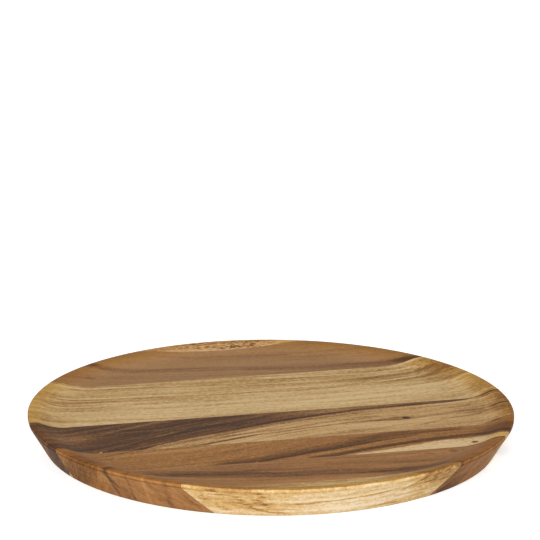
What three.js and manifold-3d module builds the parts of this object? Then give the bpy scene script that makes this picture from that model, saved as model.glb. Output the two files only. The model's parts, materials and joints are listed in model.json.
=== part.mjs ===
// Round wooden charger plate, turned from a panel of staves glued edge to edge.
// Millimetres, +Z up. The origin is the centre of the flat base, +X runs along the grain
// and +Y points to the back of the plate.

import * as THREE from "three";
import { mergeVertices } from "three/addons/utils/BufferGeometryUtils.js";
import Module from "manifold-3d";

// Turned shape
const RIM_DIAMETER = 330;
const HEIGHT = 21.6;
const OVERHANG = 11.8; // how far the rim stands out past the flat that rests on the table
const BAND_HEIGHT = 2.6; // upright band round the outside of the rim
const RECESS_DEPTH = 5.3; // from the rim's top down to the flat floor
const LAND_WIDTH = 2; // level ring on top of the rim, measured from the outside of the band
const COVE_RADIUS = 40; // hollow curve that rises from the floor
const LIP_RADIUS = 16; // round shoulder between the cove and the land
const RIM_EDGE_RADIUS = 0.6;
const BASE_EDGE_RADIUS = 1;

// Widths of the staves across the grain, as they show inside the rim
const BACK_EDGE_WIDTH = 13.5;
const BACK_BROWN_WIDTH = 59.1;
const DARK_WIDTH = 58;
const VEINED_WIDTH = 41;
const FRONT_BROWN_WIDTH = 44.8;
const FRONT_EDGE_WIDTH = 28.3;
const GLUE_THICKNESS = 0.2;

// Facets of the round surfaces
const TURN_SEGMENTS = 128;
const EDGE_STEPS = 4;
const LIP_STEPS = 4;
const COVE_STEPS = 6;

const RIM_RADIUS = RIM_DIAMETER / 2;
const BASE_RADIUS = RIM_RADIUS - OVERHANG;
const FLOOR_HEIGHT = HEIGHT - RECESS_DEPTH;
const QUARTER_TURN = Math.PI / 2;

// The cream stave, the widest, takes what the others leave of the diameter.
const BACK_WIDTHS = BACK_EDGE_WIDTH + BACK_BROWN_WIDTH;
const FRONT_WIDTHS = DARK_WIDTH + VEINED_WIDTH + FRONT_BROWN_WIDTH + FRONT_EDGE_WIDTH;
const CREAM_WIDTH = RIM_DIAMETER - BACK_WIDTHS - FRONT_WIDTHS;

// Staves from the back of the plate to the front
const STAVES = [
  { name: "back_edge_stave", width: BACK_EDGE_WIDTH, color: 0xb5915c },
  { name: "back_brown_stave", width: BACK_BROWN_WIDTH, color: 0x916e4d },
  { name: "cream_stave", width: CREAM_WIDTH, color: 0xb7986b },
  { name: "dark_stave", width: DARK_WIDTH, color: 0x8f704f },
  { name: "veined_stave", width: VEINED_WIDTH, color: 0x8f6946 },
  { name: "front_brown_stave", width: FRONT_BROWN_WIDTH, color: 0x8a6546 },
  { name: "front_edge_stave", width: FRONT_EDGE_WIDTH, color: 0xb99255 },
];
const GLUE_COLOR = 0x4a3524;
const OILED_ROUGHNESS = 0.5;
const GLUE_ROUGHNESS = 0.4;

const wasm = await Module();
wasm.setup();

// Points along an arc about a centre in the (radius, height) plane, both ends included.
function arcPoints(center, radius, startAngle, endAngle, steps) {
  const points = [];
  for (let step = 0; step <= steps; step += 1) {
    const angle = startAngle + ((endAngle - startAngle) * step) / steps;
    points.push(
      new THREE.Vector2(center.x + radius * Math.cos(angle), center.y + radius * Math.sin(angle)),
    );
  }
  return points;
}

// Flared outer wall: a straight line from the rounded base edge up to the foot of the band,
// which stands upright as far as the rounded rim edge.
function wallPoints() {
  const baseCenter = new THREE.Vector2(BASE_RADIUS, BASE_EDGE_RADIUS);
  const bandFoot = new THREE.Vector2(RIM_RADIUS, HEIGHT - BAND_HEIGHT);
  const rimCenter = new THREE.Vector2(RIM_RADIUS - RIM_EDGE_RADIUS, HEIGHT - RIM_EDGE_RADIUS);
  const span = bandFoot.clone().sub(baseCenter);
  const wallNormal = span.angle() - Math.acos(BASE_EDGE_RADIUS / span.length());
  return [
    ...arcPoints(baseCenter, BASE_EDGE_RADIUS, -QUARTER_TURN, wallNormal, EDGE_STEPS),
    bandFoot,
    ...arcPoints(rimCenter, RIM_EDGE_RADIUS, 0, QUARTER_TURN, EDGE_STEPS),
  ];
}

// Recess: the convex lip runs straight into the concave cove, which ends level with the floor.
function recessPoints() {
  const landEdge = RIM_RADIUS - LAND_WIDTH;
  const bothRadii = COVE_RADIUS + LIP_RADIUS;
  const slope = Math.acos(1 - RECESS_DEPTH / bothRadii);
  const floorEdge = landEdge - bothRadii * Math.sin(slope);
  const lipCenter = new THREE.Vector2(landEdge, HEIGHT - LIP_RADIUS);
  const coveCenter = new THREE.Vector2(floorEdge, FLOOR_HEIGHT + COVE_RADIUS);
  const lip = arcPoints(lipCenter, LIP_RADIUS, QUARTER_TURN, QUARTER_TURN + slope, LIP_STEPS);
  const cove = arcPoints(coveCenter, COVE_RADIUS, slope - QUARTER_TURN, -QUARTER_TURN, COVE_STEPS);
  return [...lip, ...cove.slice(1)];
}

// The whole plate before it is divided into staves.
function turnedGeometry() {
  const profile = [
    new THREE.Vector2(0, 0),
    ...wallPoints(),
    ...recessPoints(),
    new THREE.Vector2(0, FLOOR_HEIGHT),
  ];
  return new THREE.LatheGeometry(profile, TURN_SEGMENTS).rotateX(QUARTER_TURN);
}

function toSolid(geometry) {
  geometry.deleteAttribute("normal");
  geometry.deleteAttribute("uv");
  const merged = mergeVertices(geometry);
  const corners = merged.index.array;
  const triangles = [];
  for (let first = 0; first < corners.length; first += 3) {
    const [a, b, c] = corners.slice(first, first + 3);
    // Triangles at the axis of the turning have two corners in one place and no area.
    if (a !== b && b !== c && c !== a) {
      triangles.push(a, b, c);
    }
  }
  const mesh = new wasm.Mesh({
    numProp: 3,
    vertProperties: new Float32Array(merged.attributes.position.array),
    triVerts: new Uint32Array(triangles),
  });
  return new wasm.Manifold(mesh);
}

function toGeometry(solid) {
  const { vertProperties, triVerts } = solid.getMesh();
  const geometry = new THREE.BufferGeometry();
  geometry.setAttribute("position", new THREE.BufferAttribute(vertProperties, 3));
  geometry.setIndex(new THREE.BufferAttribute(triVerts, 1));
  geometry.computeVertexNormals();
  return geometry;
}

// A block, larger than the plate, that fills all the space in front of a plane across the grain.
function frontOf(planeY) {
  const side = 4 * RIM_DIAMETER;
  const block = new THREE.BoxGeometry(side, side, side);
  block.translate(0, planeY - side / 2, 0);
  return toSolid(block);
}

// The slice of the turned plate between two planes. Neighbours share a plane, so they touch.
function slice(plate, frontY, backY) {
  return toGeometry(plate.intersect(frontOf(backY)).subtract(frontOf(frontY)));
}

function addPiece(group, name, geometry, color, roughness) {
  const material = new THREE.MeshStandardMaterial({ color, roughness, metalness: 0 });
  const mesh = new THREE.Mesh(geometry, material);
  mesh.name = name;
  group.add(mesh);
}

function buildPlate() {
  const group = new THREE.Group();
  const plate = toSolid(turnedGeometry());
  const halfGlue = GLUE_THICKNESS / 2;
  let backJoint = RIM_RADIUS;
  STAVES.forEach((stave, index) => {
    const isFirst = index === 0;
    const isLast = index === STAVES.length - 1;
    const frontJoint = backJoint - stave.width;
    // The two outer staves run out to the rim, so their slices reach past it.
    const backY = isFirst ? RIM_DIAMETER : backJoint - halfGlue;
    const frontY = isLast ? -RIM_DIAMETER : frontJoint + halfGlue;
    addPiece(group, stave.name, slice(plate, frontY, backY), stave.color, OILED_ROUGHNESS);
    if (!isLast) {
      const film = slice(plate, frontJoint - halfGlue, frontJoint + halfGlue);
      addPiece(group, `glue_line_${index + 1}`, film, GLUE_COLOR, GLUE_ROUGHNESS);
    }
    backJoint = frontJoint;
  });
  return group;
}

export default buildPlate();
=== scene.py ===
"""Looks of a round wooden charger plate, turned from seven staves glued edge to edge.

Metres, +Z up. The origin is the centre of the flat base, +X runs along the grain and +Y points
to the back. Wood figure is written in millimetres, as it lies on the floor of the recess.
"""

import json
import math
from collections import namedtuple

import bmesh
import bpy
from mathutils import Matrix, Vector


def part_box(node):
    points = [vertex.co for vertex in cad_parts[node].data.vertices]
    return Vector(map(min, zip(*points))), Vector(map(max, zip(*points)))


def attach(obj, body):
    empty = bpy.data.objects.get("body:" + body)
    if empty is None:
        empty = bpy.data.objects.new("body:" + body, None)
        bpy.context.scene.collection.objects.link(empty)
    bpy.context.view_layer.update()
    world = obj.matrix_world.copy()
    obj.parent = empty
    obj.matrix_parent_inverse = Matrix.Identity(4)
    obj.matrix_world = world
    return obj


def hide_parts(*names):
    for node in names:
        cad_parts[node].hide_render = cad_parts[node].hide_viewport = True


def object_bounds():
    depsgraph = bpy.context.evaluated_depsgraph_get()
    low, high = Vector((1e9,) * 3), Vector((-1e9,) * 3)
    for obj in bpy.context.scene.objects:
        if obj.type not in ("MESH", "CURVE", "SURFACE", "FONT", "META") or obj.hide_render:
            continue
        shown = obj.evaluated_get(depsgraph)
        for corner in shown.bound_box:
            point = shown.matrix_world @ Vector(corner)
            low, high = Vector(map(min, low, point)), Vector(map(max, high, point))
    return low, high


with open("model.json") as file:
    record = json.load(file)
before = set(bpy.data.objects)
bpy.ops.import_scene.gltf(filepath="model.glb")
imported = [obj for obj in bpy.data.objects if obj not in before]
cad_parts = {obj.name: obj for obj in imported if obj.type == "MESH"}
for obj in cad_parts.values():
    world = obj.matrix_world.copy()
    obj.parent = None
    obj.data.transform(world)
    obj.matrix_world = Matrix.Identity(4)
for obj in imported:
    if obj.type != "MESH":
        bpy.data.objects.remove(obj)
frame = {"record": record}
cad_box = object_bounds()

MM = 0.001
QUARTER_TURN = math.pi / 2

# Turned shape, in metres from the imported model
RIM_RADIUS = cad_box[1][0]
HEIGHT = cad_box[1][2]
MOUNTS = {mount["name"]: mount for mount in frame["record"]["mounts"]}
FLOOR_HEIGHT = MOUNTS["recess_floor"]["pos_m"][2]

# Turned shape, in millimetres as in the construction
OVERHANG = 11.8
BAND_HEIGHT = 2.6
LAND_WIDTH = 2.0
COVE_RADIUS = 40.0
LIP_RADIUS = 16.0
RIM_EDGE_RADIUS = 0.6
BAND_FOOT_RADIUS = 1.2
BASE_EDGE_RADIUS = 1.0

# Fineness of the round surfaces
TURN_SEGMENTS = 256
EDGE_STEPS = 6
LIP_STEPS = 8
COVE_STEPS = 14
EDGE_MARGIN = 0.4  # millimetres; a point this near each end of a straight run keeps it flat
SHARP_ANGLE = math.radians(40)
CUT_TOLERANCE = 1e-7

# Staves from the back to the front, with a glue line between neighbours
STAVES = [
    "back_edge_stave",
    "back_brown_stave",
    "cream_stave",
    "dark_stave",
    "veined_stave",
    "front_brown_stave",
    "front_edge_stave",
]

# Veins and flow of the wood, in millimetres
FIGURE_REACH = 170.0  # paths are drawn from minus this to plus this along X
PATH_MARGIN = 20.0  # room above and below a vein's path in the curve that holds it
FLOW_RANGE = (-140.0, 60.0)  # room for the lines that the grain follows
CORE = 0.35  # share of a vein's reach that has its full depth
FADE = 0.35  # share of a vein's length over which each end fades out
LONGEST_FADE = 15.0
FEATHER = 3.0  # how far fine streaks fray the sides of veins and shades
WAVE_SCALE = 0.1
WAVE_SQUEEZE = 0.4  # the wave is this much slower along the grain than across it

# Shares of an oval's reach between which it fades out
SHADE_FADE = (0.2, 1.0)
FLECK_FADE = (0.3, 1.0)
KNOT_FADE = (0.5, 1.3)

# Noise in the grain: its scale per millimetre, its stretch along the grain and its share of the tone
Layer = namedtuple("Layer", "scale stretch detail share")
BANDS = Layer(scale=0.06, stretch=40, detail=2.0, share=0.4)
STREAKS = Layer(scale=0.2, stretch=50, detail=2.0, share=1.2)
DASHES = Layer(scale=0.35, stretch=12, detail=1.0, share=0.6)
PORES = Layer(scale=2.0, stretch=16, detail=2.0, share=0.35)
MOTTLE = Layer(scale=0.45, stretch=1.4, detail=1.0, share=1.0)
SPECKLE = Layer(scale=1.1, stretch=1.5, detail=1.0, share=0.55)
GRAIN_DEPTH = 0.3  # the grain changes this much slower with height than across the board
GRAIN_ROUGHNESS = 0.6
FLECK_NOISE = (0.47, 0.62)  # noise at which a fleck starts and at which it is full
FLECK_DETAIL = 2.0

# Oiled finish: roughness, gloss and pores, then tints near the rim that are partly painted shade and a
# painted highlight, with places in millimetres
WOOD_ROUGHNESS = 0.6
ROUGHNESS_SPREAD = 0.2
SPECULAR = 0.05
PORE_BUMP = 0.08
PORE_DEPTH = 0.0004  # metres
FACING_UP = (0.2, 0.8)  # upward part of the normal at which a surface starts and fully counts as inside
LIP_FACING = (0.3, 0.8)
# warmer, darker tint on upward faces near the rim: partly the lip's end grain, partly painted shade on the
# lip
LIP_TINT_AND_PAINTED_SHADE = (0.9, 0.79, 0.5)
LIP_INSET = (17.0, 4.0)  # distances from the rim at which the tint starts and is full
# paler, warmer band at the rim: partly golden end grain, partly a painted highlight where the band faces
# the light
RIM_TINT_AND_PAINTED_HIGHLIGHT = (1.08, 1.02, 0.86)
RIM_INSET = (4.0, 2.0)
BAND_BLEND = 0.4
EDGE_TINT = (0.4, 0.25, 0.12)
EDGE_REACH = (0.15, 0.8)
BASE_LINE_HEIGHT = 0.3
TURNING_MARKS = 0.25
TURNING_SCALE = 0.5
TURNING_INSET = (30.0, 5.0)

# Glue
GLUE_PALETTE = [(0.3, (0.12, 0.065, 0.03)), (0.7, (0.22, 0.13, 0.06))]
GLUE_SPECK_SCALE = 90.0
GLUE_ROUGHNESS = 0.45

# Stage, in metres and watts
FLOOR_SIDE = 12.0
FLOOR_GAP = 0.0001  # keeps the floor and the flat base out of one plane
FLOOR_COLOR = (0.82, 0.82, 0.82)
FLOOR_GLOW = 0.58  # makes the lit floor white to look at, without lighting the plate
AMBIENT = 0.45  # light from the surroundings, which are white to look at
Softbox = namedtuple("Softbox", "name place width height power")
SOFTBOXES = [
    Softbox("front_softbox", place=(-1.2, -2.1, 0.7), width=1.6, height=1.0, power=60.0),
    Softbox("fill_softbox", place=(2.2, -0.6, 0.35), width=1.2, height=0.6, power=15.0),
    Softbox("top_softbox", place=(0.2, 0.3, 2.2), width=2.0, height=2.0, power=12.0),
]

# Camera, fitted to the outline and the glue lines of the photograph. It stands to the left of the
# plate's front and looks over the plate's middle, so that the plate lies low in the picture.
CAMERA_DISTANCE = 2.049
CAMERA_BEARING = math.radians(14.03)  # of its place, round the plate
CAMERA_ELEVATION = math.radians(18.48)  # of its place, above the base
CAMERA_HEADING = math.radians(14.0)  # of its view
CAMERA_PITCH = math.radians(15.26)  # of its view, below the level
CAMERA_ROLL = math.radians(0.25)
CAMERA_LENS = 200.0
SENSOR_WIDTH = 36.0


def add_object(name, data):
    """A new object in the scene."""
    item = bpy.data.objects.new(name, data)
    bpy.context.scene.collection.objects.link(item)
    return item


# Turned shape


def arc_points(center, radius, start, end, steps):
    """Points along an arc in the (radius, height) plane, both ends included."""
    angles = [start + (end - start) * step / steps for step in range(steps + 1)]
    return [center + radius * Vector((math.cos(a), math.sin(a))) for a in angles]


def wall_arcs(rim, height):
    """Base edge, rounded foot of the band and rim edge. The wall and the band run between them."""
    base_center = Vector((rim - OVERHANG, BASE_EDGE_RADIUS))
    band_foot = Vector((rim, height - BAND_HEIGHT))
    span = band_foot - base_center
    span_angle = math.atan2(span.y, span.x)
    wall_normal = span_angle - math.acos(BASE_EDGE_RADIUS / span.length)
    # The rounded foot touches the wall and the band at the same distance from their corner.
    touch = BAND_FOOT_RADIUS * math.tan(-wall_normal / 2)
    foot_center = Vector((rim - BAND_FOOT_RADIUS, band_foot.y + touch))
    rim_center = Vector((rim - RIM_EDGE_RADIUS, height - RIM_EDGE_RADIUS))
    return [
        arc_points(base_center, BASE_EDGE_RADIUS, -QUARTER_TURN, wall_normal, EDGE_STEPS),
        arc_points(foot_center, BAND_FOOT_RADIUS, wall_normal, 0.0, EDGE_STEPS),
        arc_points(rim_center, RIM_EDGE_RADIUS, 0.0, QUARTER_TURN, EDGE_STEPS),
    ]


def recess_arc(rim, height, floor):
    """Convex lip that runs into the concave cove, which ends level with the floor."""
    land_edge = rim - LAND_WIDTH
    both_radii = COVE_RADIUS + LIP_RADIUS
    slope = math.acos(1 - (height - floor) / both_radii)
    floor_edge = land_edge - both_radii * math.sin(slope)
    lip_center = Vector((land_edge, height - LIP_RADIUS))
    cove_center = Vector((floor_edge, floor + COVE_RADIUS))
    lip = arc_points(lip_center, LIP_RADIUS, QUARTER_TURN, QUARTER_TURN + slope, LIP_STEPS)
    cove = arc_points(cove_center, COVE_RADIUS, slope - QUARTER_TURN, -QUARTER_TURN, COVE_STEPS)
    return lip + cove[1:]


def with_margins(arcs):
    """One outline from arcs joined by straight runs, with a point near both ends of each run."""
    outline = []
    for arc in arcs:
        if outline:
            step = (arc[0] - outline[-1]).normalized() * EDGE_MARGIN
            outline += [outline[-1] + step, arc[0] - step]
        outline += arc
    return outline


def plate_profile():
    """Half section of the plate, from the middle of the base to the middle of the floor."""
    rim, height, floor = RIM_RADIUS / MM, HEIGHT / MM, FLOOR_HEIGHT / MM
    outline = with_margins(wall_arcs(rim, height) + [recess_arc(rim, height, floor)])
    first, last = outline[0], outline[-1]
    inset = Vector((EDGE_MARGIN, 0.0))
    base = [Vector((0.0, first.y)), first - inset]
    recess = [last - inset, Vector((0.0, last.y))]
    return [point * MM for point in base + outline + recess]


def turned_plate():
    """The whole plate as one closed mesh."""
    plate = bmesh.new()
    profile = plate_profile()
    bottom = plate.verts.new((0.0, 0.0, profile[0].y))
    top = plate.verts.new((0.0, 0.0, profile[-1].y))
    rings = []
    for turn in range(TURN_SEGMENTS):
        angle = 2 * math.pi * turn / TURN_SEGMENTS
        along, across = math.cos(angle), math.sin(angle)
        ring = [plate.verts.new((p.x * along, p.x * across, p.y)) for p in profile[1:-1]]
        rings.append([bottom] + ring + [top])
    for here, there in zip(rings, rings[1:] + rings[:1]):
        for step in range(len(profile) - 1):
            corners = [here[step], there[step], there[step + 1], here[step + 1]]
            # Faces at the axis have two corners in one place, so they become triangles.
            plate.faces.new(list(dict.fromkeys(corners)))
    return plate


def cut_at(plate, plane_y, keep_back):
    """Cuts the plate along a glue plane, keeps one side and closes the cut."""
    away = (0.0, -1.0 if keep_back else 1.0, 0.0)
    cut = bmesh.ops.bisect_plane(
        plate,
        geom=plate.verts[:] + plate.edges[:] + plate.faces[:],
        dist=CUT_TOLERANCE,
        plane_co=(0.0, plane_y, 0.0),
        plane_no=away,
        clear_outer=True,
    )
    border = [item for item in cut["geom_cut"] if isinstance(item, bmesh.types.BMEdge)]
    bmesh.ops.edgeloop_fill(plate, edges=border)


def slice_piece(node, material):
    """A fine slice of the turned plate that stands for a node and takes its front and back planes."""
    low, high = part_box(node)
    plate = turned_plate()
    # The two outer staves run out to the rim and are cut on one side only.
    if low.y > -RIM_RADIUS + MM:
        cut_at(plate, low.y, keep_back=True)
    if high.y < RIM_RADIUS - MM:
        cut_at(plate, high.y, keep_back=False)
    bmesh.ops.recalc_face_normals(plate, faces=plate.faces[:])
    for face in plate.faces:
        face.smooth = True
    mesh = bpy.data.meshes.new(node + "_fine")
    plate.to_mesh(mesh)
    plate.free()
    mesh.set_sharp_from_angle(angle=SHARP_ANGLE)
    mesh.materials.append(material)
    piece = add_object(node + "_fine", mesh)
    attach(piece, "root")
    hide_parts(node)


# Materials


class Graph:
    """Fills one node tree. Most methods give back the socket that holds their result."""

    def __init__(self, tree):
        self.tree = tree
        self.tree.nodes.clear()

    def add(self, kind, inputs=None, **settings):
        """A new node with its inputs fed and its settings made."""
        node = self.tree.nodes.new(kind)
        for name, value in settings.items():
            setattr(node, name, value)
        for key, value in (inputs or {}).items():
            self.feed(node.inputs[key], value)
        return node

    def feed(self, socket, value):
        """Links a socket to an input, or sets a plain value on it."""
        if isinstance(value, bpy.types.NodeSocket):
            self.tree.links.new(value, socket)
        else:
            socket.default_value = value

    def math(self, operation, *values):
        return self.add("ShaderNodeMath", dict(enumerate(values)), operation=operation).outputs[0]

    def vector(self, operation, *values):
        return self.add("ShaderNodeVectorMath", dict(enumerate(values)), operation=operation).outputs[0]

    def join(self, x, y, z):
        return self.add("ShaderNodeCombineXYZ", {0: x, 1: y, 2: z}).outputs[0]

    def split(self, vector):
        """The three parts of a vector, each a socket."""
        return self.add("ShaderNodeSeparateXYZ", {0: vector}).outputs

    def distance(self, x, y):
        """How far (x, y) lies from (0, 0)."""
        node = self.add("ShaderNodeVectorMath", {0: self.join(x, y, 0.0)}, operation="LENGTH")
        return node.outputs["Value"]

    def step(self, value, low, high, start=0.0, end=1.0):
        """Smooth step from start to end as the value goes from low to high."""
        inputs = {"Value": value, 1: low, 2: high, 3: start, 4: end}
        return self.add("ShaderNodeMapRange", inputs, interpolation_type="SMOOTHSTEP").outputs[0]

    def noise(self, place, scale, detail=2.0, roughness=0.5):
        inputs = {"Vector": place, "Scale": scale, "Detail": detail, "Roughness": roughness}
        return self.add("ShaderNodeTexNoise", inputs).outputs["Fac"]

    def centred_noise(self, noise, strength):
        """Noise about 0, as strong as asked."""
        return self.math("MULTIPLY_ADD", noise, strength, -strength / 2)

    def ramp(self, value, stops):
        """Colour between (position, colour) stops."""
        node = self.add("ShaderNodeValToRGB", {"Fac": value})
        elements = node.color_ramp.elements
        elements[0].position = stops[0][0]
        elements[1].position = stops[-1][0]
        for position, _ in stops[1:-1]:
            elements.new(position)
        for element, (_, color) in zip(elements, stops):
            element.color = (*color, 1.0)
        return node.outputs["Color"]

    def tint(self, factor, color, tint):
        """The colour multiplied by a tint where the factor is 1."""
        node = self.add("ShaderNodeMix", data_type="RGBA", blend_type="MULTIPLY")
        # The sockets for colours follow those for numbers and vectors.
        self.feed(node.inputs[0], factor)
        self.feed(node.inputs[6], color)
        self.feed(node.inputs[7], (*tint, 1.0))
        return node.outputs[2]

    def path(self, value, points, low, high):
        """A smooth curve through given points between low and high, read at a place along X."""
        node = self.add("ShaderNodeFloatCurve")
        node.mapping.use_clip = False
        node.mapping.extend = "EXTRAPOLATED"
        handles = node.mapping.curves[0].points
        while len(handles) < len(points):
            handles.new(0.5, 0.5)
        for handle, (x, y) in zip(handles, points):
            handle.location = ((x + FIGURE_REACH) / (2 * FIGURE_REACH), (y - low) / (high - low))
        node.mapping.update()
        place = self.math("MULTIPLY_ADD", value, 0.5 / FIGURE_REACH, 0.5)
        self.feed(node.inputs["Value"], place)
        return self.math("MULTIPLY_ADD", node.outputs[0], high - low, low)


def new_material(name):
    """A material with no nodes, and the graph that fills it."""
    material = bpy.data.materials.new(name)
    material.use_nodes = True
    return material, Graph(material.node_tree)


# Figure of the wood


def vein(points, above, below, depth):
    """A streak along given (x, y) points that fades out above and below them."""
    return {"points": points, "above": above, "below": below, "depth": depth}


def patch(x, y, length, width, depth):
    """An oval spot of the board, such as a knot or a crowd of flecks."""
    return {"x": x, "y": y, "length": length, "width": width, "depth": depth}
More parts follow.
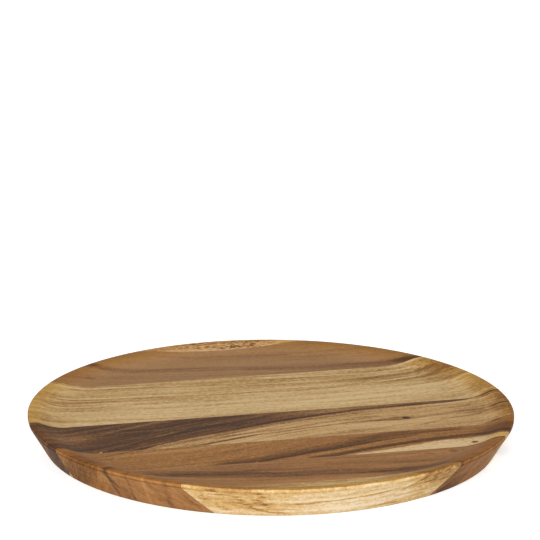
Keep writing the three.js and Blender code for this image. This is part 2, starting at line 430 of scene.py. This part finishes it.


# A stave's figure:
# palette: colours from tone 0, its palest wood, to tone 1, its darkest
# tone: tone of its plain wood
# tilt: how far the figure leans across the board with height
# streaks, mottle: strength of the long grain and of the short blotches
# edges: strength of the dark turned edges and of the rim's tint, which is partly a painted highlight
# wave: how far the figure wanders across the board, in millimetres
# ticks: scale of the noise in flecks, and its stretch along the grain
# flow: the line that the grain follows
# veins, shades: streaks and soft ovals, darker or, with a depth below 0, paler
# inside: tone added where the surface faces up
# length: how long the grain's streaks are, where 1 is usual
# flecks: ovals in which flecks show
# flecks_inside: share of the flecks that shows where the surface faces up
# knots: small firm spots: pin knots, dark spots and, with a depth below 0, pale chips
# The plain figure holds what a stave has unless its own figure says otherwise.
PLAIN_FIGURE = {
    "inside": 0.0,
    "length": 1.0,
    "flecks": [],
    "flecks_inside": 1.0,
    "knots": [],
}
FIGURES = {
    "back_edge_stave": {
        "palette": [
            (0.0, (0.6, 0.41, 0.23)),
            (0.4, (0.42, 0.24, 0.127)),
            (0.7, (0.22, 0.105, 0.044)),
            (1.0, (0.09, 0.045, 0.02)),
        ],
        "tone": 0.2,
        "tilt": 0.9,
        "streaks": 0.7,
        "mottle": 0.6,
        "edges": 0.6,
        "wave": 1.5,
        "ticks": (0.9, 3.0),
        "flow": [(-170, 0), (0, 0), (170, 0)],
        "veins": [
            vein([(-60, 155.5), (-20, 156), (20, 155), (60, 154)], 1.5, 1.5, -0.12),
            vein([(-55, 153.2), (-30, 153.4), (10, 153.2)], 0.6, 0.6, 0.3),
        ],
        "shades": [patch(48, 155, 60, 14, -0.3)],
        "flecks": [
            patch(0, 163, 130, 20, 0.6),
            patch(20, 157, 80, 10, 0.4),
        ],
    },
    "back_brown_stave": {
        "palette": [
            (0.0, (0.4, 0.225, 0.095)),
            (0.4, (0.297, 0.158, 0.067)),
            (0.7, (0.205, 0.1, 0.045)),
            (1.0, (0.09, 0.044, 0.022)),
        ],
        "tone": 0.33,
        "tilt": 0.8,
        "streaks": 0.45,
        "mottle": 0.35,
        "edges": 0.8,
        "wave": 1.0,
        "ticks": (0.45, 3.5),
        "flow": [(-170, 17), (-100, 11), (0, 0), (100, -13), (170, -29)],
        "veins": [
            vein(
                [(-112, 135), (-97, 131.5), (-90, 128), (-80, 124.5), (-60, 121.5), (-40, 118.5),
                 (-20, 115.5), (0, 113), (20, 109), (40, 105.5), (60, 104), (80, 102.5), (100, 101),
                 (120, 99), (150, 93)],
                5, 8, 0.24,
            ),
            vein(
                [(0, 112), (30, 109), (60, 106), (90, 103), (110, 100), (130, 96), (150, 92)],
                6, 10, 0.14,
            ),
            vein(
                [(-95, 107.5), (-80, 105.5), (-65, 103), (-45, 100), (-20, 97.5), (0, 95.5)],
                1.5, 1.5, 0.12,
            ),
            vein([(-85, 115.5), (-60, 116.5), (-35, 112)], 1.5, 1.5, -0.08),
            vein([(-40, 144.5), (0, 142.5), (30, 137.5), (60, 130.5), (90, 124)], 4, 6, 0.1),
        ],
        "shades": [
            patch(127, 99, 42, 18, 0.3),
            patch(-100, 132, 16, 8, 0.4),
            patch(60, 95, 150, 9, 0.16),
            patch(-40, 120, 90, 12, 0.12),
            patch(85, 105, 70, 10, 0.12),
            patch(20, 140, 160, 20, 0.06),
        ],
        "knots": [patch(-104.5, 109.3, 8, 1.8, 0.5)],
    },
    "cream_stave": {
        "palette": [
            (0.0, (0.62, 0.445, 0.225)),
            (0.3, (0.515, 0.345, 0.153)),
            (0.6, (0.4, 0.236, 0.085)),
            (1.0, (0.22, 0.11, 0.04)),
        ],
        "tone": 0.3,
        "tilt": 0.6,
        "streaks": 1.0,
        "mottle": 0.85,
        "edges": 0.6,
        "wave": 2.0,
        "ticks": (0.35, 1.3),
        "flow": [(-170, 14), (-100, 6), (0, 0), (70, -2), (120, 4), (170, 14)],
        "veins": [
            vein([(-170, 84), (-100, 79), (0, 75), (100, 76), (170, 84)], 22, 20, 0.12),
            vein(
                [(-142, 95), (-130, 91.5), (-120, 89.5), (-100, 87.5), (-80, 86), (-60, 84.5)],
                1.5, 1.5, -0.36,
            ),
            vein([(-132, 88.5), (-115, 85.5), (-100, 83.5), (-75, 82), (-50, 80)], 2.4, 2.4, 0.26),
            vein(
                [(-148, 73), (-130, 69), (-110, 65.5), (-90, 64.5), (-70, 63.5), (-40, 60), (-10, 58),
                 (20, 56.5)],
                1.6, 1.6, -0.36,
            ),
            vein([(-138, 67), (-120, 64.5), (-100, 60.5), (-80, 58.5), (-50, 57)], 2, 2.4, 0.3),
            vein([(-158, 61), (-145, 53.5), (-135, 50), (-115, 48.5), (-92, 47.5)], 1.4, 1.4, -0.34),
            vein([(-158, 54), (-143, 47.5), (-125, 45.5), (-105, 43), (-80, 42)], 2, 2.4, 0.28),
            vein(
                [(-38, 79), (-20, 76.5), (-5, 72.5), (10, 69.5), (30, 67.5), (50, 66), (70, 67.5),
                 (90, 68.5), (110, 71.5), (125, 75), (145, 81)],
                2.5, 3, 0.2,
            ),
            vein([(78, 58.5), (92, 60), (105, 61.5), (118, 65), (140, 71)], 1.3, 1.3, -0.6),
            vein([(86, 55.5), (105, 58), (120, 61), (145, 67)], 2, 2, 0.3),
            vein([(-35, 55), (0, 54.5), (20, 53.5), (40, 52.5), (70, 54)], 2, 2.4, 0.26),
            vein(
                [(5, 86.5), (30, 84.5), (60, 82), (90, 80.3), (105, 81.3), (118, 83.3), (135, 85.5)],
                1.6, 1.6, -0.42,
            ),
            vein([(30, 43), (55, 41.5), (80, 40), (112, 38.5)], 0.7, 0.7, 0.16),
            vein([(10, 10.5), (50, 10.5), (105, 10)], 1.5, 1.5, 0.06),
            vein([(10, 19), (60, 27), (100, 28), (135, 29)], 6, 5, -0.14),
            vein([(55, 44.5), (100, 43), (135, 45)], 2.5, 3, -0.1),
            vein([(80, 44.5), (104, 43.5), (123, 45), (145, 49)], 1.2, 1.4, -0.22),
        ],
        "shades": [
            patch(-120, 56, 70, 22, 0.3),
            patch(-60, 56, 110, 12, 0.2),
            patch(100, 68, 120, 24, 0.29),
            patch(50, 90.5, 210, 9, 0.16),
            patch(62, 55, 56, 10, 0.12),
            patch(120, 78, 48, 11, 0.22),
            patch(20, 65, 70, 12, 0.1),
            patch(-115, 41, 80, 14, 0.12),
            patch(141, 64, 44, 54, 0.46),
            patch(-5, 68, 70, 14, 0.14),
            patch(104, 56, 110, 16, 0.26),
            patch(-122, 45, 60, 14, 0.16),
            patch(-142, 60, 40, 56, 0.16),
            patch(-110, 76, 70, 20, 0.08),
            patch(46, 23, 190, 40, -0.17),
            patch(157, 24, 28, 60, 0.24),
            patch(-148, 20, 44, 40, 0.2),
            patch(-70, 22, 190, 28, -0.16),
        ],
        "flecks": [
            patch(-55, 44, 130, 22, 0.22),
            patch(92, 86, 60, 12, 0.4),
            patch(30, 77, 90, 14, 0.3),
            patch(134, 84, 34, 26, 0.45),
        ],
    },
    "dark_stave": {
        "palette": [
            (0.0, (0.56, 0.375, 0.18)),
            (0.25, (0.445, 0.264, 0.106)),
            (0.5, (0.235, 0.118, 0.044)),
            (0.75, (0.122, 0.054, 0.021)),
            (1.0, (0.053, 0.025, 0.012)),
        ],
        "tone": 0.16,
        "tilt": 0.9,
        "streaks": 0.7,
        "mottle": 0.35,
        "edges": 0.8,
        "wave": 1.2,
        "ticks": (0.4, 2.5),
        "flow": [(-170, -60), (-120, -48), (-73, -31), (-31, -17), (8, -4), (60, 4), (170, 12)],
        "veins": [
            vein(
                [(-170, -66), (-150, -58), (-130, -50.5), (-108, -51), (-98, -47), (-90, -41.5),
                 (-80, -37), (-60, -29.5), (-40, -23.5), (-20, -17), (0, -10.8), (20, -5.8), (40, -1),
                 (60, 2), (80, 3.4), (100, 4.4), (120, 5), (135, 7.5), (150, 11), (170, 14)],
                400, 5, 0.69,
            ),
            vein(
                [(-108, -54), (-90, -47), (-75, -41), (-60, -36), (-40, -29.5), (-20, -22), (0, -15),
                 (20, -10.5), (40, -6), (60, -2), (80, 0.5), (115, 3)],
                5, 7, 0.26,
            ),
            vein(
                [(-114, -9), (-100, -9), (-90, -9.5), (-80, -7.5), (-70, -4.5), (-60, -1), (-50, 1),
                 (-35, 3.5), (-5, 5)],
                2.8, 3.2, 0.2,
            ),
            vein(
                [(-132, -50.5), (-122, -47.5), (-110, -42.5), (-95, -33), (-78, -26), (-66, -20),
                 (-55, -14), (-40, -11.5), (-15, -8.5)],
                2.6, 5, 0.18,
            ),
            vein([(-155, -26), (-140, -21), (-128, -18.5), (-114, -14.5)], 3, 3, -0.22),
            vein(
                [(-125, -12.5), (-95, -12), (-65, -12), (-50, -8.5), (-30, -4), (0, 0)],
                3.5, 3.5, -0.07,
            ),
            vein(
                [(-130, -43), (-118, -39.5), (-103, -34), (-90, -28), (-78, -22.5), (-66, -16.5)],
                1.5, 1.5, -0.22,
            ),
            vein(
                [(-78, -51.5), (-62, -49), (-48, -45), (-35, -41.5), (-22, -37.5), (-8, -35), (8, -32),
                 (22, -29.5), (37, -27), (55, -25), (70, -25), (85, -27), (105, -24)],
                1.6, 2.4, 0.32,
            ),
            vein(
                [(88, -27), (100, -25), (112, -21.5), (125, -19), (138, -17.5), (150, -17)],
                3, 3.5, 0.12,
            ),
            vein([(-52, -39.5), (-30, -33.5), (-10, -30), (10, -27.5), (32, -22.5)], 2.0, 3.0, 0.27),
            vein([(2, -26.5), (22, -22.5), (45, -18.5), (75, -15.5)], 2.0, 2.4, 0.14),
            vein([(50, -15.5), (62, -16), (77, -16.5)], 1, 1, 0.3),
            vein([(42, -22.5), (60, -21), (75, -22), (98, -22)], 2, 4, 0.14),
            vein([(86, -43.5), (105, -36.5), (118, -32), (132, -29), (150, -22)], 1.5, 2.5, 0.2),
            vein([(2, -49.5), (20, -46), (35, -43.5), (50, -42), (78, -42)], 2, 4, 0.16),
            vein([(98, -13.5), (121, -10), (150, -3)], 1.2, 1.8, 0.14),
            vein([(142, 5.5), (150, 6.5), (158, 8), (170, 8.5)], 3, 4, 0.26),
            vein([(148, -16.5), (154, -16), (160, -16), (170, -15)], 1.2, 1.8, 0.36),
            vein([(132, -50), (142, -47.6), (150, -46.2), (158, -45)], 1.0, 1.4, 0.36),
        ],
        "shades": [
            patch(-146, -20, 60, 50, -0.14),
            patch(166, -30, 42, 80, 0.3),
            patch(163, -4, 26, 30, 0.22),
            patch(144, -24, 50, 34, 0.15),
            patch(58, 4, 230, 20, -0.33),
            patch(30, -29, 90, 14, -0.12),
            patch(142, -12, 56, 12, 0.06),
            patch(120, -32, 50, 12, 0.08),
            patch(-70, -48, 34, 10, 0.1),
            patch(-50, -42, 70, 20, 0.14),
            patch(-18, -47, 70, 12, -0.08),
            patch(60, -34, 60, 16, -0.08),
            patch(86, -24, 30, 12, 0.12),
            patch(-95, -18, 50, 14, 0.08),
            patch(15, -50, 50, 8, 0.1),
        ],
        "flecks": [patch(45, -44, 60, 10, 0.15)],
        "knots": [
            patch(88.6, -24.4, 5.4, 4.4, 0.9),
            patch(145, -48, 7, 5, 0.3),
            patch(-127, -49.8, 1.8, 4, -0.5),
            patch(-12.7, -49.5, 1.8, 4, -0.25),
        ],
    },
    "veined_stave": {
        "palette": [
            (0.0, (0.64, 0.46, 0.245)),
            (0.2, (0.43, 0.25, 0.1)),
            (0.4, (0.322, 0.148, 0.045)),
            (0.7, (0.165, 0.069, 0.02)),
            (1.0, (0.066, 0.03, 0.012)),
        ],
        "tone": 0.5,
        "tilt": 0.9,
        "streaks": 0.35,
        "mottle": 0.35,
        "edges": 0.6,
        "wave": 1.0,
        "ticks": (0.45, 3.5),
        "flow": [
            (-170, -95), (-62, -92.5), (-19, -82.5), (20, -68), (50, -57.5), (100, -50), (170, -54),
        ],
        "veins": [
            vein(
                [(-64, -92), (-40, -91), (-30, -90), (-20, -86.5), (-10, -83), (0, -80), (10, -77),
                 (20, -74.5), (30, -71), (40, -68), (50, -65), (60, -61.5), (70, -59), (80, -57),
                 (125, -53)],
                11, 6, 0.27,
            ),
            vein(
                [(-70, -91.5), (-45, -92), (-30, -91), (-18, -87.5), (0, -83), (20, -77.5),
                 (40, -72.5), (60, -67), (90, -61)],
                1.8, 1.8, 0.26,
            ),
            vein([(-64, -91.5), (-30, -89), (-10, -83), (10, -78), (30, -73), (60, -64)], 4, 5, 0.14),
            vein(
                [(-2, -88), (10, -85), (30, -80.5), (50, -72.5), (70, -66.5), (98, -61.5)],
                1.5, 1.8, -0.12,
            ),
            vein(
                [(-2, -92.5), (17, -90.5), (30, -87), (50, -82), (70, -77.5), (90, -73), (105, -71),
                 (118, -70), (125, -70), (132, -71), (138, -72), (150, -77.5), (170, -89)],
                5, 3.4, 0.42,
            ),
            vein(
                [(26, -93), (38, -90.5), (55, -87), (75, -82.5), (95, -78), (105, -76.5), (120, -75.8),
                 (127, -76), (132, -77), (137, -78.5), (150, -85), (170, -96)],
                1.2, 400, -0.47,
            ),
            vein([(43, -58), (60, -55.5), (75, -54), (95, -53), (128, -52.5)], 2.5, 2.5, 0.06),
            vein([(-140, -61.5), (-125, -58.5), (-115, -55), (-100, -50.5)], 1.2, 1.2, 0.25),
            vein([(-60, -73.5), (-45, -67.5), (-35, -64.5), (-20, -59.5)], 1.5, 2, 0.12),
            vein([(-88, -81), (-70, -76), (-52, -69)], 3, 3, 0.07),
        ],
        "shades": [
            patch(142, -64, 46, 26, 0.28),
            patch(100, -52, 64, 8, -0.2),
            patch(48, -58, 34, 10, 0.14),
            patch(112, -76, 34, 8, 0.14),
            patch(135, -75, 26, 14, 0.25),
            patch(147, -75, 20, 10, 0.5),
            patch(-60, -58, 150, 20, -0.03),
            patch(-146, -72, 44, 50, 0.2),
        ],
        "inside": -0.04,
        "knots": [
            patch(118, -85.5, 4.6, 5, 0.75),
            patch(-30.8, -55.5, 1.6, 4.5, -0.3),
            patch(-31.7, -91, 1.6, 3.5, -0.45),
        ],
    },
    "front_brown_stave": {
        "palette": [
            (0.0, (0.385, 0.195, 0.076)),
            (0.4, (0.285, 0.133, 0.046)),
            (0.7, (0.175, 0.08, 0.032)),
            (1.0, (0.08, 0.038, 0.015)),
        ],
        "tone": 0.4,
        "tilt": -0.2,
        "streaks": 0.7,
        "mottle": 0.4,
        "edges": 0.6,
        "wave": 1.2,
        "ticks": (0.45, 3.5),
        "flow": [
            (-170, -84), (-92, -105), (-50, -113.5), (6, -119.5), (60, -121), (110, -117),
            (170, -108),
        ],
        "veins": [
            vein([(108, -93), (122, -93.2), (132, -93.6), (142, -93.8)], 0.8, 1.2, 0.5),
            vein(
                [(-118, -96.5), (-108, -99), (-100, -101.5), (-90, -103.5), (-80, -106), (-70, -108.5),
                 (-60, -110.5), (-45, -113.5), (-30, -117), (-15, -119.5), (0, -119.5), (20, -122),
                 (40, -125.5), (55, -127), (70, -127), (82, -126), (97, -121)],
                7, 8, 0.4,
            ),
            vein(
                [(-98, -108), (-80, -111.5), (-60, -117), (-35, -121), (-20, -123), (8, -127)],
                0.9, 1.0, 0.16,
            ),
            vein([(2, -103), (30, -105.5), (50, -109), (70, -112.5), (92, -113)], 3, 5, 0.12),
            vein([(66, -96.8), (72, -98.5), (79, -99.5)], 0.8, 0.8, 0.35),
            vein([(76, -99.5), (81, -100.5), (88, -101.5)], 1, 1, 0.55),
            vein(
                [(-142, -105), (-133.5, -98), (-128, -94.2), (-122, -90.4), (-108, -81)],
                2.4, 2.4, 0.34,
            ),
            vein(
                [(-130, -119), (-122.6, -111.5), (-118.5, -105.6), (-114.4, -99.8), (-106, -89)],
                2.2, 2.2, 0.24,
            ),
            vein(
                [(-121, -127), (-113.8, -120.5), (-110, -114.4), (-106, -108.3), (-100, -99)],
                3.5, 3.5, -0.24,
            ),
            vein(
                [(-110, -142), (-101.6, -131), (-98.2, -124.6), (-94.8, -118), (-88, -106)],
                6, 6, 0.16,
            ),
            vein([(-106, -128.3), (-93, -128.4), (-82, -127.9)], 2, 2, -0.12),
            vein([(-96, -135), (-84, -132.1), (-75, -131)], 1.5, 1.5, 0.22),
        ],
        "shades": [
            patch(-58, -103, 120, 20, 0.16),
            patch(-35, -109, 70, 14, 0.14),
            patch(92, -118, 34, 20, 0.12),
            patch(92, -140, 20, 14, 0.1),
            patch(0, -137, 190, 20, -0.24),
            patch(-122, -99, 20, 14, 0.2),
            patch(-131, -97.5, 18, 8, 0.35),
            patch(90, -137, 24, 16, 0.15),
            patch(80, -99, 90, 18, -0.16),
        ],
        "knots": [
            patch(99, -99, 7, 5, 0.35),
            patch(105, -98.5, 5, 4, 0.15),
            patch(16.8, -119.8, 1.4, 4, -0.3),
        ],
    },
    "front_edge_stave": {
        "palette": [
            (0.0, (0.7, 0.585, 0.41)),
            (0.35, (0.555, 0.365, 0.146)),
            (0.7, (0.36, 0.19, 0.062)),
            (1.0, (0.2, 0.1, 0.036)),
        ],
        "tone": 0.3,
        "tilt": -0.6,
        "streaks": 0.8,
        "mottle": 0.45,
        "edges": 0.25,
        "wave": 3.0,
        "ticks": (0.55, 3.0),
        "flow": [
            (-170, 60), (-100, 32), (-83, 22), (-60, 11), (-40, 4.5), (0, 0), (40, 3), (60, 7.5),
            (83, 16), (170, 55),
        ],
        "veins": [
            vein(
                [(-33, -152.5), (-13, -155), (0, -156.7), (15, -157.2), (36, -155.5), (52, -153.5)],
                0.9, 1.2, 0.4,
            ),
            vein([(44, -151), (54, -151.7), (60, -152.2), (66, -152.8), (76, -151)], 1.6, 1.6, 0.3),
            vein(
                [(-58, -145.5), (-49, -143.8), (-41, -143.3), (-34, -143.3), (-20, -144.5)],
                1.2, 1.2, 0.4,
            ),
            vein([(24, -144.5), (34, -143.4), (43, -141), (56, -138)], 1.2, 1.2, 0.35),
            vein(
                [(-90, -140.7), (-70, -151.8), (-50, -159.6), (-30, -164.6), (0, -167.4), (30, -164.6),
                 (50, -159.6), (70, -151.8), (90, -140.7)],
                4, 1.4, 0.07,
            ),
        ],
        "shades": [
            # paler middle of the front wall: partly paler wood, partly a painted sheen
            patch(15, -155, 120, 34, -0.19),
            patch(82, -147, 64, 44, 0.24),
            patch(-78, -147, 66, 44, 0.08),
            patch(-52, -152, 44, 44, 0.13),
        ],
        "inside": 0.25,
        "length": 0.35,
        "flecks": [
            patch(-72, -147, 18, 9, 0.35),
            patch(-59, -148.5, 16, 8, 0.5),
            patch(-48, -152, 14, 9, 0.45),
            patch(-44, -159, 16, 9, 0.4),
            patch(-54, -145.5, 12, 6, 0.45),
            patch(-41, -149, 10, 6, 0.45),
            patch(-66, -136, 16, 9, 0.35),
            patch(-80, -139, 12, 9, 0.35),
            patch(78, -146, 60, 36, 0.4),
        ],
        "flecks_inside": 0.0,
    },
}


# Where a point lies in the plate, in millimetres, and the upward part of its surface's normal
Place = namedtuple("Place", "x y z radius upwards")


def plate_place(graph):
    """The place that is being shaded."""
    metres = graph.add("ShaderNodeTexCoord").outputs["Object"]
    x, y, z = graph.split(graph.vector("MULTIPLY", metres, (1 / MM, 1 / MM, 1 / MM)))
    normal = graph.add("ShaderNodeNewGeometry").outputs["Normal"]
    return Place(x, y, z, radius=graph.distance(x, y), upwards=graph.split(normal)[2])


def across_board(graph, figure, place):
    """How far across the board a place lies, where the figure's tilt and wave are taken in."""
    tilt = figure["tilt"]
    lean = graph.math("MULTIPLY_ADD", place.z, tilt, -tilt * FLOOR_HEIGHT / MM)
    across = graph.math("ADD", place.y, lean)
    along = graph.math("MULTIPLY", place.x, WAVE_SQUEEZE)
    wave = graph.noise(graph.join(along, across, 0.0), WAVE_SCALE, detail=1.0)
    return graph.math("ADD", across, graph.centred_noise(wave, figure["wave"]))


def grain(graph, place, flow, layer, length):
    """Noise in streaks that are longer along the grain than across it."""
    along = graph.math("MULTIPLY", place.x, 1 / (layer.stretch * length))
    spot = graph.join(along, flow, graph.math("MULTIPLY", place.z, GRAIN_DEPTH))
    return graph.noise(spot, layer.scale, layer.detail, GRAIN_ROUGHNESS)


def vein_band(graph, x, across, streak):
    """1 on the streak's line and 0 away from it and past its ends."""
    points, above, below = streak["points"], streak["above"], streak["below"]
    heights = [y for _, y in points]
    middle = graph.path(x, points, min(heights) - PATH_MARGIN, max(heights) + PATH_MARGIN)
    offset = graph.math("SUBTRACT", across, middle)
    rise = graph.step(offset, -below, -CORE * below)
    fall = graph.step(offset, CORE * above, above, 1.0, 0.0)
    band = graph.math("MULTIPLY", rise, fall)
    start, end = points[0][0], points[-1][0]
    fade = min(FADE * (end - start), LONGEST_FADE)
    if start > -FIGURE_REACH:
        band = graph.math("MULTIPLY", band, graph.step(x, start, start + fade))
    if end < FIGURE_REACH:
        band = graph.math("MULTIPLY", band, graph.step(x, end - fade, end, 1.0, 0.0))
    return band


def oval(graph, x, across, spot, fade):
    """The spot's depth inside it, which fades to 0 between two shares of its reach."""
    along = graph.math("MULTIPLY_ADD", x, 2 / spot["length"], -2 * spot["x"] / spot["length"])
    aside = graph.math("MULTIPLY_ADD", across, 2 / spot["width"], -2 * spot["y"] / spot["width"])
    return graph.step(graph.distance(along, aside), *fade, spot["depth"], 0.0)


def wood_tone(graph, figure, place):
    """How dark the wood is at each place, and the fine noise of its pores."""
    length = figure["length"]
    across = across_board(graph, figure, place)
    flow = graph.math("SUBTRACT", across, graph.path(place.x, figure["flow"], *FLOW_RANGE))
    long_grain = {}
    for layer in (BANDS, STREAKS, DASHES, PORES):
        long_grain[layer] = grain(graph, place, flow, layer, length)
    ragged = graph.math("ADD", across, graph.centred_noise(long_grain[STREAKS], FEATHER))

    tone = figure["tone"]
    for streak in figure["veins"]:
        band = vein_band(graph, place.x, ragged, streak)
        tone = graph.math("MULTIPLY_ADD", band, streak["depth"], tone)
    for layer, noise in long_grain.items():
        tone = graph.math("ADD", tone, graph.centred_noise(noise, layer.share * figure["streaks"]))
    for layer, strength in ((MOTTLE, figure["mottle"]), (SPECKLE, 1.0)):
        noise = grain(graph, place, flow, layer, 1.0)
        tone = graph.math("ADD", tone, graph.centred_noise(noise, layer.share * strength))
    for spot in figure["shades"]:
        tone = graph.math("ADD", tone, oval(graph, place.x, ragged, spot, SHADE_FADE))
    tone = graph.math("ADD", tone, graph.step(place.upwards, *FACING_UP, 0.0, figure["inside"]))

    scale, stretch = figure["ticks"]
    ticks = grain(graph, place, flow, Layer(scale, stretch, FLECK_DETAIL, share=1.0), 1.0)
    shown = graph.step(place.upwards, *FACING_UP, 1.0, figure["flecks_inside"])
    fleck = graph.math("MULTIPLY", graph.step(ticks, *FLECK_NOISE), shown)
    for spot in figure["flecks"]:
        crowd = oval(graph, place.x, across, spot, FLECK_FADE)
        tone = graph.math("MULTIPLY_ADD", fleck, crowd, tone)
    for spot in figure["knots"]:
        tone = graph.math("ADD", tone, oval(graph, place.x, across, spot, KNOT_FADE))
    return tone, long_grain[PORES]


def near_rim(graph, place, inset):
    """0 to 1 between two distances from the rim."""
    start, full = inset
    return graph.step(place.radius, RIM_RADIUS / MM - start, RIM_RADIUS / MM - full)


def turning_marks(graph, place):
    """Faint rings that the turning tool leaves towards the rim."""
    section = graph.join(place.radius, 0.0, place.z)
    rings = graph.noise(section, TURNING_SCALE, detail=2.0, roughness=GRAIN_ROUGHNESS)
    marks = graph.centred_noise(rings, TURNING_MARKS)
    return graph.math("MULTIPLY", marks, near_rim(graph, place, TURNING_INSET))


def edge_line(graph, place, edge_radius, edge_height):
    """1 along a turned edge of the plate, which is drawn darker there."""
    outwards = graph.math("SUBTRACT", place.radius, edge_radius)
    upwards = graph.math("SUBTRACT", place.z, edge_height)
    return graph.step(graph.distance(outwards, upwards), *EDGE_REACH, 1.0, 0.0)


def rim_tints_and_painted_light(graph, color, place, strength):
    """Tints the lip, where the end grain drinks more oil and shade is painted, and the rim's band, where
    the end grain is golden and a highlight is painted, and darkens the turned edges.
    """
    rim, height = RIM_RADIUS / MM, HEIGHT / MM
    foot = height - BAND_HEIGHT
    # The lip's tint is partly painted shade and partly the warmer end grain there.
    lip = graph.math("MULTIPLY", graph.step(place.upwards, *LIP_FACING), near_rim(graph, place, LIP_INSET))
    color = graph.tint(lip, color, LIP_TINT_AND_PAINTED_SHADE)
    # The band's tint is partly a painted highlight and partly golden end grain.
    above_foot = graph.step(place.z, foot - BAND_BLEND, foot + BAND_BLEND)
    band = graph.math("MULTIPLY", above_foot, near_rim(graph, place, RIM_INSET))
    color = graph.tint(graph.math("MULTIPLY", band, strength), color, RIM_TINT_AND_PAINTED_HIGHLIGHT)
    base_line = rim - OVERHANG + BASE_EDGE_RADIUS
    lines = 0.0
    for edge_radius, edge_height in ((rim, height), (rim, foot), (base_line, BASE_LINE_HEIGHT)):
        lines = graph.math("MAXIMUM", edge_line(graph, place, edge_radius, edge_height), lines)
    return graph.tint(graph.math("MULTIPLY", lines, strength), color, EDGE_TINT)


def wood_material(name):
    """Solid oiled wood, cut from a board whose figure runs along X."""
    figure = {**PLAIN_FIGURE, **FIGURES[name]}
    material, graph = new_material(name)
    place = plate_place(graph)
    tone, pores = wood_tone(graph, figure, place)
    tone = graph.math("ADD", tone, turning_marks(graph, place))
    color = rim_tints_and_painted_light(graph, graph.ramp(tone, figure["palette"]), place, figure["edges"])
    smoothest = WOOD_ROUGHNESS - ROUGHNESS_SPREAD / 2
    roughness = graph.math("MULTIPLY_ADD", pores, ROUGHNESS_SPREAD, smoothest)
    bump = graph.add("ShaderNodeBump", {"Height": pores, "Strength": PORE_BUMP, "Distance": PORE_DEPTH})
    inputs = {
        "Base Color": color,
        "Roughness": roughness,
        "Specular IOR Level": SPECULAR,
        "Normal": bump.outputs[0],
    }
    shader = graph.add("ShaderNodeBsdfPrincipled", inputs)
    graph.add("ShaderNodeOutputMaterial", {"Surface": shader.outputs[0]})
    return material


def glue_material():
    """Cured glue line, a thin amber-brown film."""
    material, graph = new_material("glue")
    place = graph.add("ShaderNodeTexCoord").outputs["Object"]
    specks = graph.noise(place, GLUE_SPECK_SCALE, detail=3.0, roughness=0.6)
    color = graph.ramp(specks, GLUE_PALETTE)
    shader = graph.add("ShaderNodeBsdfPrincipled", {"Base Color": color, "Roughness": GLUE_ROUGHNESS})
    graph.add("ShaderNodeOutputMaterial", {"Surface": shader.outputs[0]})
    return material


# Stage


def seen_directly(graph):
    """1 for rays from the camera, a reflection or a clear material, else 0."""
    path = graph.add("ShaderNodeLightPath")
    seen = graph.math("MAXIMUM", path.outputs["Is Camera Ray"], path.outputs["Is Glossy Ray"])
    return graph.math("MAXIMUM", seen, path.outputs["Is Transmission Ray"])


def floor_material():
    """Pale paper that shows white where it is lit and keeps the plate's shadow."""
    material, graph = new_material("studio_floor")
    paper = graph.add("ShaderNodeBsdfDiffuse", {"Color": (*FLOOR_COLOR, 1.0)}).outputs[0]
    glow = graph.add("ShaderNodeEmission", {"Strength": FLOOR_GLOW}).outputs[0]
    both = graph.add("ShaderNodeAddShader", {0: paper, 1: glow}).outputs[0]
    shown = graph.add("ShaderNodeMixShader", {0: seen_directly(graph), 1: paper, 2: both})
    graph.add("ShaderNodeOutputMaterial", {"Surface": shown.outputs[0]})
    return material


def add_floor():
    """Square floor under the plate."""
    half, low = FLOOR_SIDE / 2, -FLOOR_GAP
    corners = [(-half, -half, low), (half, -half, low), (half, half, low), (-half, half, low)]
    mesh = bpy.data.meshes.new("studio_floor")
    mesh.from_pydata(corners, [], [(0, 1, 2, 3)])
    mesh.materials.append(floor_material())
    floor = add_object("studio_floor", mesh)


def set_world():
    """White surroundings to look at, and an even soft light."""
    world = bpy.data.worlds.new("studio")
    bpy.context.scene.world = world
    world.use_nodes = True
    graph = Graph(world.node_tree)
    strength = graph.step(seen_directly(graph), 0.0, 1.0, AMBIENT, 1.0)
    sky = graph.add("ShaderNodeBackground", {"Color": (1.0, 1.0, 1.0, 1.0), "Strength": strength})
    graph.add("ShaderNodeOutputWorld", {"Surface": sky.outputs[0]})


def add_softbox(softbox):
    """Rectangular light that faces the middle of the plate's base."""
    light = bpy.data.lights.new(softbox.name, "AREA")
    light.shape = "RECTANGLE"
    light.size = softbox.width
    light.size_y = softbox.height
    light.energy = softbox.power
    lamp = add_object(softbox.name, light)
    lamp.location = softbox.place
    lamp.rotation_euler = (-Vector(softbox.place)).to_track_quat("-Z", "Y").to_euler()


def add_camera():
    """Long lens at the photograph's viewing angle, with no shift and no depth of field."""
    data = bpy.data.cameras.new("camera")
    data.lens = CAMERA_LENS
    data.sensor_width = SENSOR_WIDTH
    reach = CAMERA_DISTANCE * math.cos(CAMERA_ELEVATION)
    place = Vector((-reach * math.sin(CAMERA_BEARING), -reach * math.cos(CAMERA_BEARING), 0.0))
    place.z = CAMERA_DISTANCE * math.sin(CAMERA_ELEVATION)
    turn = Matrix.Rotation(-CAMERA_HEADING, 4, "Z")
    tip = Matrix.Rotation(QUARTER_TURN - CAMERA_PITCH, 4, "X")
    roll = Matrix.Rotation(CAMERA_ROLL, 4, "Z")
    camera = add_object("camera", data)
    camera.matrix_world = Matrix.Translation(place) @ turn @ tip @ roll
    bpy.context.scene.camera = camera


def build():
    """All pieces of the plate, and the studio round it."""
    for stave in STAVES:
        slice_piece(stave, wood_material(stave))
    glue = glue_material()
    for number in range(1, len(STAVES)):
        slice_piece(f"glue_line_{number}", glue)
    add_floor()
    set_world()
    for softbox in SOFTBOXES:
        add_softbox(softbox)
    add_camera()
    bpy.context.scene.view_settings.view_transform = "Standard"


build()
